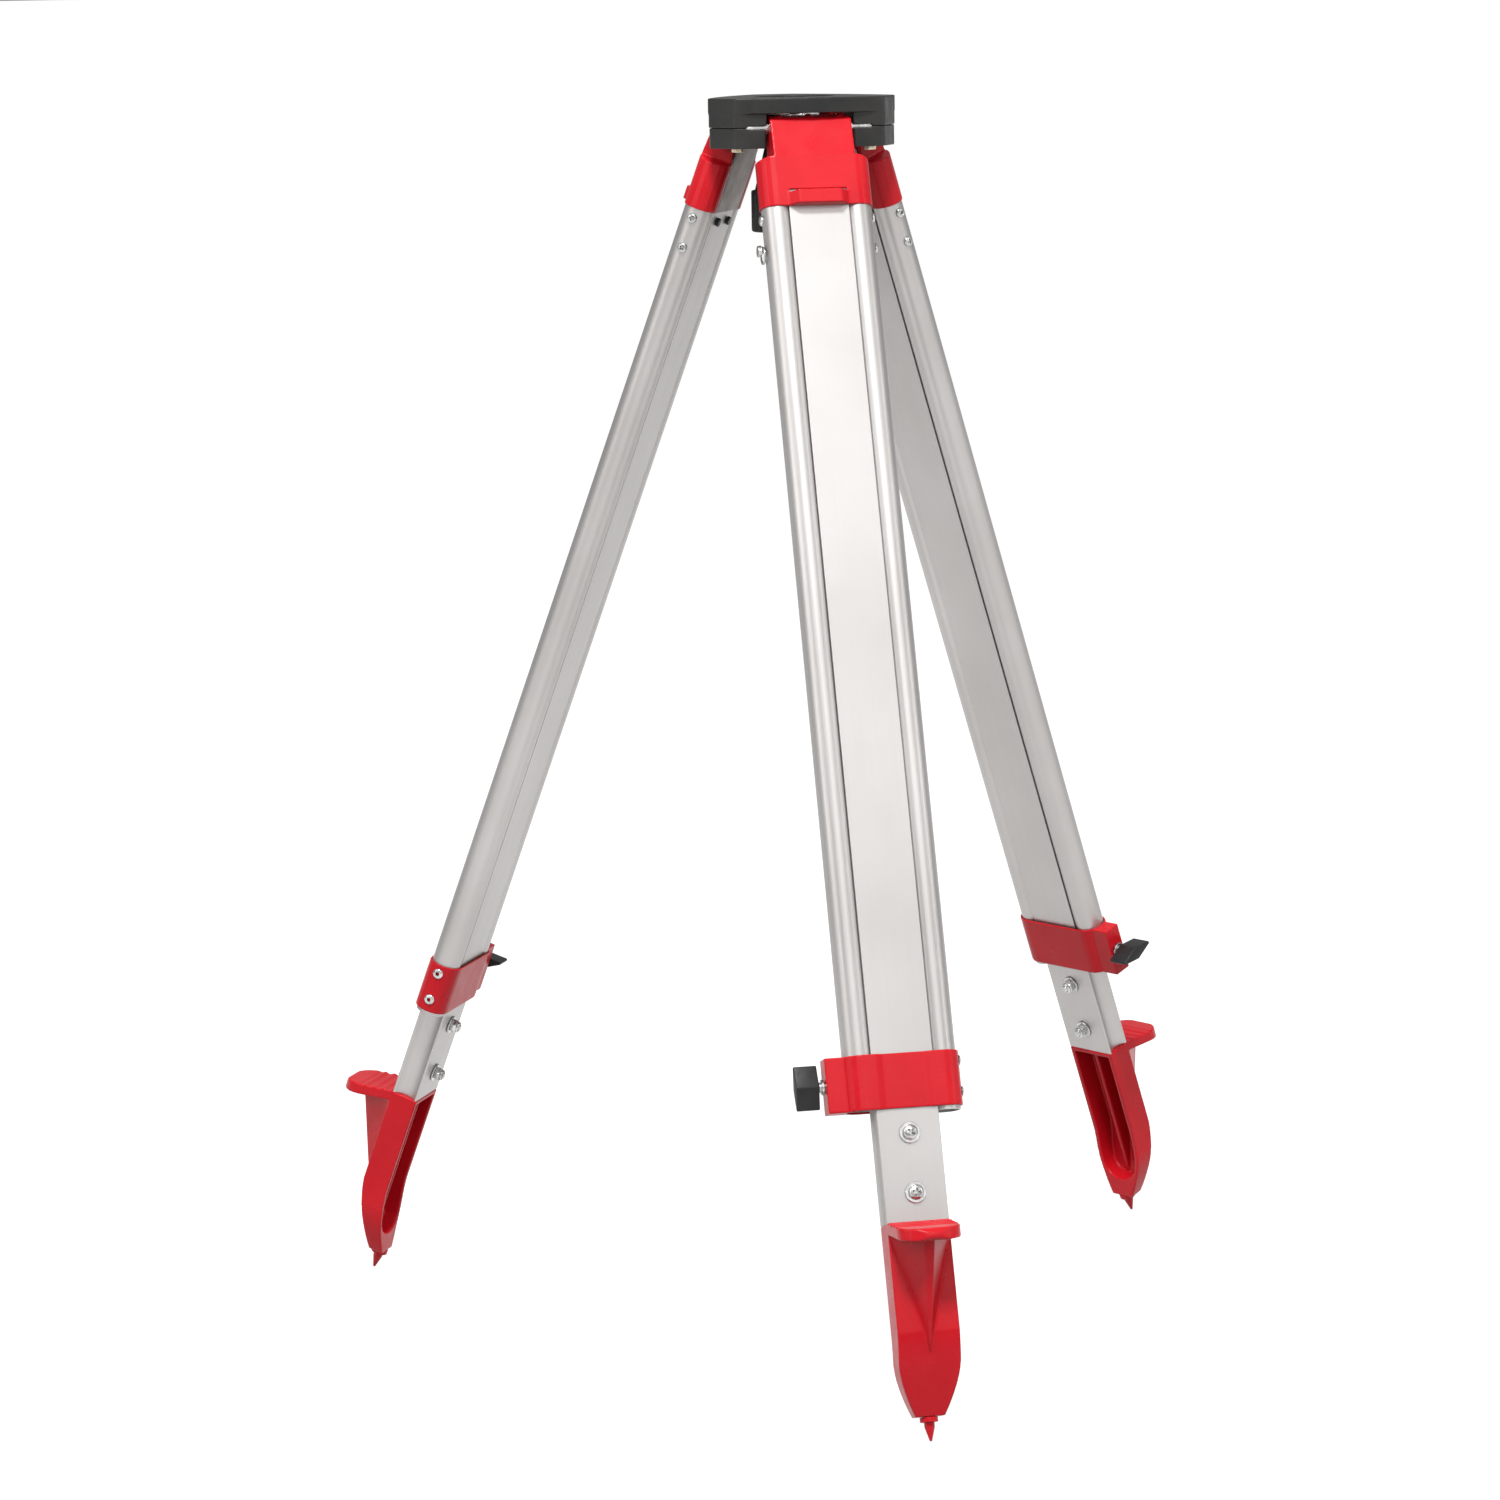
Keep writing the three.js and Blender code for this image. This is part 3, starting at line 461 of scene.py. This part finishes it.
def black_plastic():
    """Moulded plastic with a fine texture."""
    look = Look("black_plastic", (0.012, 0.012, 0.013), 0.42)
    look.link(look.ramp(look.noise(50, 4), (0.3, (0.008, 0.008, 0.009)), (0.7, (0.017, 0.017, 0.018))),
              look.shader.inputs["Base Color"])
    look.link(look.spread(look.noise(200, 3), 0.38, 0.52), look.shader.inputs["Roughness"])
    look.shader.inputs["Specular IOR Level"].default_value = 0.28
    look.bump(look.noise(1500, 3), 0.2, 0.06)
    return look.material


RED = red_paint()
BLACK = black_casting()
ALUMINIUM = {leg: aluminium(leg) for leg in LEGS}
SHADE_DARKENED_ALUMINIUM = shade_darkened_cast_aluminium()
ZINC = plated("zinc", (0.34, 0.34, 0.335), (0.58, 0.58, 0.57))
YELLOW_ZINC = plated("yellow_zinc", (0.48, 0.43, 0.3), (0.76, 0.7, 0.52))
BRASS = plated("brass", (0.5, 0.36, 0.13), (0.72, 0.54, 0.22))
PLASTIC = black_plastic()


def dress(node, look):
    """Gives a carried-over node its material."""
    materials = NODES[node].data.materials
    materials.clear()
    materials.append(look)


# ---------------------------------------------------------------- fasteners
def cross_recess(size, depth, top):
    """Tool for a cross recess: two crossed tapering blades below a height, in millimetres."""
    blades = []
    for turn in (0, math.pi / 2):
        half = size / 2
        thin = size * 0.12
        narrow = half * 0.45
        outline = [(-half, top + 0.5), (half, top + 0.5), (narrow, top - depth), (-narrow, top - depth)]
        blade = prism("blade", outline, -thin, thin)
        blade.transform(Matrix.Rotation(turn, 4, "Z") @ Matrix.Rotation(math.pi / 2, 4, "X"))
        blades.append(blade)
    return blades


def pan_head(name, radius, height, washer=0.0):
    """A pan-head screw's visible end, with its cross recess, and a washer under it if one has a radius."""
    base = WASHER_THICKNESS if washer else 0.0
    dome = [(radius * math.cos(a) ** 0.6, base + height * (0.35 + 0.65 * math.sin(a)))
            for a in [math.radians(d) for d in (0, 20, 40, 60, 75)]]
    top = base + height
    stem = radius * 0.5
    profile = [(0, -1.5), (stem, -1.5), (stem, base), (radius, base), *dome, (0, top)]
    head = without(turned(name, profile, 48), *cross_recess(radius * 1.25, height * 0.65, top))
    if washer:
        hole = radius * 0.55
        ring = [(hole, 0), (washer - 0.3, 0), (washer, 0.3), (washer, base - 0.3), (washer - 0.3, base),
                (hole, base), (hole, 0)]
        head = join(name, head, turned("washer", ring, 64))
    return smooth(head, 35)


def rivet_head(name):
    """A blind rivet's low dome with the deep hole that its mandrel left, the hole's faces painted black as
    painted shade.
    """
    profile = [(0, -2.2), (2.0, -2.2), (2.0, 0), (4.3, 0), (4.2, 0.5), (3.6, 1.1), (2.6, 1.4), (1.7, 1.4),
               (1.5, 1.1), (1.4, -1.8), (0, -2.0)]
    painted_shade_radius, painted_shade_top = 1.55, 1.2
    mesh = smooth(turned(name, profile, 48), 40)
    for look in (ZINC, PLASTIC):
        mesh.materials.append(look)
    # Faces inside the hole get black plastic: painted shade that darkens the hole.
    for face in mesh.polygons:
        painted_shade_in_hole = face.center.xy.length < painted_shade_radius * MM and face.center.z < painted_shade_top * MM
        face.material_index = 1 if painted_shade_in_hole else 0
    return mesh


def locking_nut(name):
    """Hexagon nut with chamfered corners, its collar, the washer under it and the bolt's end."""
    seat = WASHER_THICKNESS
    nut = bevelled(prism("hexagon", polygon(5.8, 6), seat, 6.2), 0.45, 2, 50)
    washer = turned("washer", [(0, 0), (7.2, 0), (7.5, 0.3), (7.5, seat - 0.3), (7.2, seat), (0, seat)], 64)
    crown = [(0, 6.0), (4.7, 6.0), (4.7, 7.4), (4.1, 8.1), (3.3, 8.1), (3.1, 7.4), (0, 7.4)]
    collar = turned("collar", crown, 48)
    bolt_end = threaded("bolt_end", BOLT_RADIUS, 0.5, 1.0, 7.0, 9.1, 32)
    return smooth(join(name, nut, washer, collar, bolt_end), 30)


def fasteners():
    """Side screws, band rivets, and the foot bolts' heads and nuts, each turned a little differently."""
    side_screw = pan_head("side_screw", 4.0, 2.4)
    foot_screw = pan_head("foot_screw", 5.8, 3.8, washer=8.0)
    nut = locking_nut("locking_nut")
    rivet = rivet_head("rivet")
    for leg in LEGS:
        base = LEG_FRAMES[leg]
        for side, direction in (("clamp_side", 1), ("rivet_side", -1)):
            for count, z in enumerate(SIDE_SCREWS, 1):
                if leg == "a" and direction == 1 and count == 2:
                    continue  # the strap ring's own screw is here
                spot = at(direction * (TUBE_OFFSET + TUBE_RADIUS - 0.1), 0, z)
                turn = towards((direction, 0, 0)) @ Matrix.Rotation(count + direction, 4, "Z")
                place(f"side_screw_{side}_{count}_{leg}", side_screw, base @ spot @ turn,
                      f"upper_{leg}", ZINC)
        for count, z in enumerate(RIVETS, 1):
            spot = at(-BAND_END, 0, z)
            place(f"band_rivet_{count}_{leg}", rivet, base @ spot @ towards((-1, 0, 0)),
                  f"upper_{leg}", ZINC)
        for which, z in FOOT_BOLTS.items():
            front = base @ at(0, SLIDER_FACE, z) @ towards((0, 1, 0)) @ Matrix.Rotation(z, 4, "Z")
            back = base @ at(0, -SLIDER_FACE, z) @ towards((0, -1, 0)) @ Matrix.Rotation(z * 2, 4, "Z")
            place(f"foot_screw_{which}_{leg}", foot_screw, front, f"lower_{leg}", ZINC,
                  [f"foot_bolt_{which}_{leg}"])
            place(f"locking_nut_{which}_{leg}", nut, back, f"lower_{leg}", ZINC)


# ---------------------------------------------------------------- legs
def tube_mesh(side, bottom):
    """A leg tube with broken edges, on the clamp's side (1) or the rivets' side (-1)."""
    outer, inner, lip = TUBE_RADIUS, TUBE_RADIUS - TUBE_WALL, 0.3
    profile = [(inner, bottom), (outer - lip, bottom), (outer, bottom + lip),
               (outer, TUBE_TOP - lip), (outer - lip, TUBE_TOP), (inner, TUBE_TOP), (inner, bottom)]
    mesh = turned("tube", profile, 96)
    mesh.transform(at(side * TUBE_OFFSET, 0, 0))
    return smooth(mesh, 30)


def tubes():
    for leg in LEGS:
        for direction, side in ((1, "clamp_side"), (-1, "rivet_side")):
            mesh = tube_mesh(direction, TUBE_BOTTOMS[side])
            place(f"{side}_tube_fine_{leg}", mesh, LEG_FRAMES[leg], f"upper_{leg}",
                  ALUMINIUM[leg], [f"{side}_tube_{leg}"])


def sliders():
    for leg in LEGS:
        soften(f"lower_leg_{leg}", 0.5)
        dress(f"lower_leg_{leg}", ALUMINIUM[leg])
        soften(f"back_plate_{leg}", 0.8)
        # The back plates get aluminium that is darkened as painted shade.
        dress(f"back_plate_{leg}", SHADE_DARKENED_ALUMINIUM)
        soften(f"slide_stop_{leg}", 0.4)
        dress(f"slide_stop_{leg}", PLASTIC)


def castings():
    """One fine mesh per kind of casting, shared by the three legs."""
    kinds = (("bracket", "upper", 0.55), ("clamp_band", "upper", 0.55), ("foot", "lower", 0.7))
    for kind, body, voxel in kinds:
        mesh = cast(f"{kind}_a", LEG_FRAMES["a"], voxel, 9, 0.4)
        for leg in LEGS:
            place(f"{kind}_casting_{leg}", mesh, LEG_FRAMES[leg], f"{body}_{leg}", RED,
                  [f"{kind}_{leg}"])


def clamps():
    knob = knob_mesh()
    start, end = COLLAR_SPAN
    profile = [(0, start), (5.6, start), (6.0, start + 0.4), (6.0, end - 0.4), (5.6, end), (0, end)]
    collar = turned("collar", profile)
    for leg in LEGS:
        dress(f"clamp_pad_{leg}", ZINC)
        soften(f"clamp_screw_{leg}", 0.3)
        dress(f"clamp_screw_{leg}", ZINC)
        y, z = CLAMP_AXIS
        spot = at(0, y, z) @ Matrix.Rotation(math.radians(KNOB_TURN[leg]), 4, "X")
        place(f"clamp_knob_fine_{leg}", knob, LEG_FRAMES[leg] @ spot, f"clamp_{leg}",
              PLASTIC, [f"clamp_knob_{leg}"])
        spot = at(0, y, z) @ Matrix.Rotation(math.pi / 2, 4, "Y")
        place(f"clamp_collar_{leg}", smooth(collar), LEG_FRAMES[leg] @ spot, f"clamp_{leg}", ZINC)


def knob_mesh():
    """Lozenge-shaped wing knob on the clamp screw, made along X."""
    start, end = KNOB_SPAN
    middle, tip, reach = 5.7, 1.1, 16.8
    outline = [(middle, 0), (tip, reach), (-tip, reach), (-middle, 0), (-tip, -reach), (tip, -reach)]
    body = prism("clamp_knob", outline, start, end)
    body = bevelled(body, 1.0, 4, 20)
    body.transform(Matrix(((0, 0, 1, 0), (1, 0, 0, 0), (0, 1, 0, 0), (0, 0, 0, 1))))
    return smooth(body, 40)


def feet():
    for leg in LEGS:
        soften(f"spike_{leg}", 0.3)
        dress(f"spike_{leg}", RED)


# ---------------------------------------------------------------- head
def head():
    plate = cast("head_plate", Matrix.Identity(4), 0.7, 4, 0.4)
    place("head_casting", plate, Matrix.Identity(4), "head", BLACK, ["head_plate"])
    for i in (1, 2, 3):
        soften(f"bearing_cap_{i}", 0.8)
        dress(f"bearing_cap_{i}", BLACK)
        soften(f"cap_bolt_{i}", 0.5)
        dress(f"cap_bolt_{i}", YELLOW_ZINC)
    for leg in LEGS:
        dress(f"hinge_shaft_{leg}", ZINC)
        NODES[f"hinge_shaft_{leg}"].data.shade_smooth()
    for node in ("swing_arm", "slide_bush", "thrust_washer", "arm_pivot"):
        soften(node, 0.4)
        dress(node, ZINC)
    screw_knob()
    centre_screw()
    dress("ring_screw", ZINC)
    soften("ring_screw", 0.3)
    strap_ring()


def screw_knob():
    """Fluted knob with a tapering neck."""
    radius, top, bottom = (SCREW_KNOB[key] for key in ("radius", "top", "bottom"))
    neck = KNOB_NECK
    profile = [(0, bottom), (radius - 2, bottom), (radius - 0.6, bottom + 0.6), (radius, bottom + 2),
               (radius, top - 1.5), (radius - 0.5, top - 0.4), (radius - 1.5, top), (neck["root"], top),
               (neck["waist"], neck["waist_height"]), (neck["end"], neck["top"]), (0, neck["top"])]
    body = turned("screw_knob", profile, 96)
    count, flute_radius = KNOB_FLUTES["count"], KNOB_FLUTES["radius"]
    centre = radius + KNOB_FLUTES["stand_off"]
    outline = [(centre + flute_radius * x, flute_radius * y) for x, y in polygon(1, 16)]
    flutes = []
    for i in range(count):
        flute = prism("flute", outline, bottom - 1, top - KNOB_FLUTES["stop"])
        flute.transform(Matrix.Rotation(2 * math.pi * i / count, 4, "Z"))
        flutes.append(flute)
    body = without(body, join("flutes", *flutes))
    place("screw_knob_fine", smooth(body, 30), Matrix.Translation(SCREW_PLACE), "screw",
          PLASTIC, ["screw_knob"])


def centre_screw():
    """Brass screw: threaded above its plain neck, with a flange that lifts the thrust washer."""
    stem, stem_bottom, neck, top = (CENTRE_SCREW[key] for key in ("stem", "stem_bottom", "neck", "top"))
    flange, thread_bottom = SCREW_FLANGE, SCREW_THREAD["bottom"]
    shank = turned("shank", [(0, stem_bottom), (stem, stem_bottom), (stem, flange["bottom"]),
                             (flange["radius"], flange["bottom"]), (flange["radius"], flange["top"]),
                             (neck, flange["top"]), (neck, thread_bottom + 0.5), (0, thread_bottom + 0.5)])
    thread = threaded("thread", SCREW_THREAD["radius"], SCREW_THREAD["depth"], SCREW_THREAD["pitch"],
                      thread_bottom, top)
    mesh = smooth(join("centre_screw", shank, thread), 50)
    place("centre_screw_fine", mesh, Matrix.Translation(SCREW_PLACE), "screw", BRASS,
          ["centre_screw"])


def strap_ring():
    """The ring hangs plumb from its screw on leg a."""
    across = Vector(JOINTS["leg_fold_a"]["axis"]).normalized()
    up = Vector((0, 0, 1))
    plumb = Matrix((across, up.cross(across), up)).transposed().to_4x4()
    pivot = Matrix.Translation(Vector(JOINTS["ring_swing"]["pos_m"]))
    frame_of_ring = pivot @ plumb @ at(0, 0, RING["middle"])
    mesh = torus("strap_ring", RING["radius"], RING["wire"])
    place("strap_ring_fine", smooth(mesh), frame_of_ring, "strap_ring", ZINC, ["strap_ring"])


# ---------------------------------------------------------------- stage, light and camera
def softbox(name, place_at, width, height, power):
    light = bpy.data.lights.new(name, "AREA")
    light.shape = "RECTANGLE"
    light.size = width
    light.size_y = height
    light.energy = power
    obj = bpy.data.objects.new(name, light)
    obj.location = place_at
    obj.rotation_euler = (Vector(LIGHTS_AIM) - Vector(place_at)).to_track_quat("-Z", "Y").to_euler()
    bpy.context.scene.collection.objects.link(obj)


def studio():
    bpy.ops.mesh.primitive_plane_add(size=FLOOR_SIZE, location=(0, 0, 0))
    floor = bpy.context.object
    floor.name = "floor"
    paper = Look("paper", (0.4, 0.4, 0.4), 0.9)
    paper.link(paper.ramp(paper.noise(3, 2), (0.3, (0.39, 0.39, 0.39)), (0.7, (0.41, 0.41, 0.41))),
               paper.shader.inputs["Base Color"])
    paper.shader.inputs["Emission Color"].default_value = (1, 1, 1, 1)
    paper.shader.inputs["Emission Strength"].default_value = FLOOR_GLOW
    floor.data.materials.append(paper.material)
    floor.visible_diffuse = False  # white to look at, without lighting every underside
    sky()
    for light in SOFTBOXES:
        softbox(*light)
    bpy.context.scene.view_settings.view_transform = "Standard"


def sky():
    """Light from all round, dimmer near the horizon so that metal has something to show."""
    world = bpy.data.worlds.new("studio")
    bpy.context.scene.world = world
    world.use_nodes = True
    nodes, links = world.node_tree.nodes, world.node_tree.links
    direction = nodes.new("ShaderNodeTexCoord").outputs["Generated"]
    split = nodes.new("ShaderNodeSeparateXYZ")
    links.new(direction, split.inputs["Vector"])
    height = nodes.new("ShaderNodeMapRange")
    height.inputs["From Min"].default_value = -1
    links.new(split.outputs["Z"], height.inputs["Value"])
    ramp = nodes.new("ShaderNodeValToRGB")
    elements = ramp.color_ramp.elements
    elements.new(0.5)
    for element, (place_on_ramp, grey) in zip(elements, SKY_GREYS):
        element.position = place_on_ramp
        element.color = (grey, grey, grey, 1)
    links.new(height.outputs["Result"], ramp.inputs["Fac"])
    links.new(ramp.outputs["Color"], nodes["Background"].inputs["Color"])
    nodes["Background"].inputs["Strength"].default_value = 1.0


def camera():
    data = bpy.data.cameras.new("camera")
    data.sensor_width = 36
    data.lens = CAMERA_LENS
    obj = bpy.data.objects.new("camera", data)
    place_of_camera = HINGE_MIDDLE + CAMERA_PLACE
    forward = (CAMERA_AIM - CAMERA_PLACE).normalized()
    right = forward.cross(Vector((0, 0, 1))).normalized()
    up = right.cross(forward)
    cos, sin = math.cos(CAMERA_ROLL), math.sin(CAMERA_ROLL)
    rotation = Matrix((right * cos + up * sin, up * cos - right * sin, -forward)).transposed()
    obj.matrix_world = Matrix.Translation(place_of_camera) @ rotation.to_4x4()
    bpy.context.scene.collection.objects.link(obj)
    bpy.context.scene.camera = obj


camera()
studio()
head()
tubes()
sliders()
castings()
clamps()
feet()
fasteners()
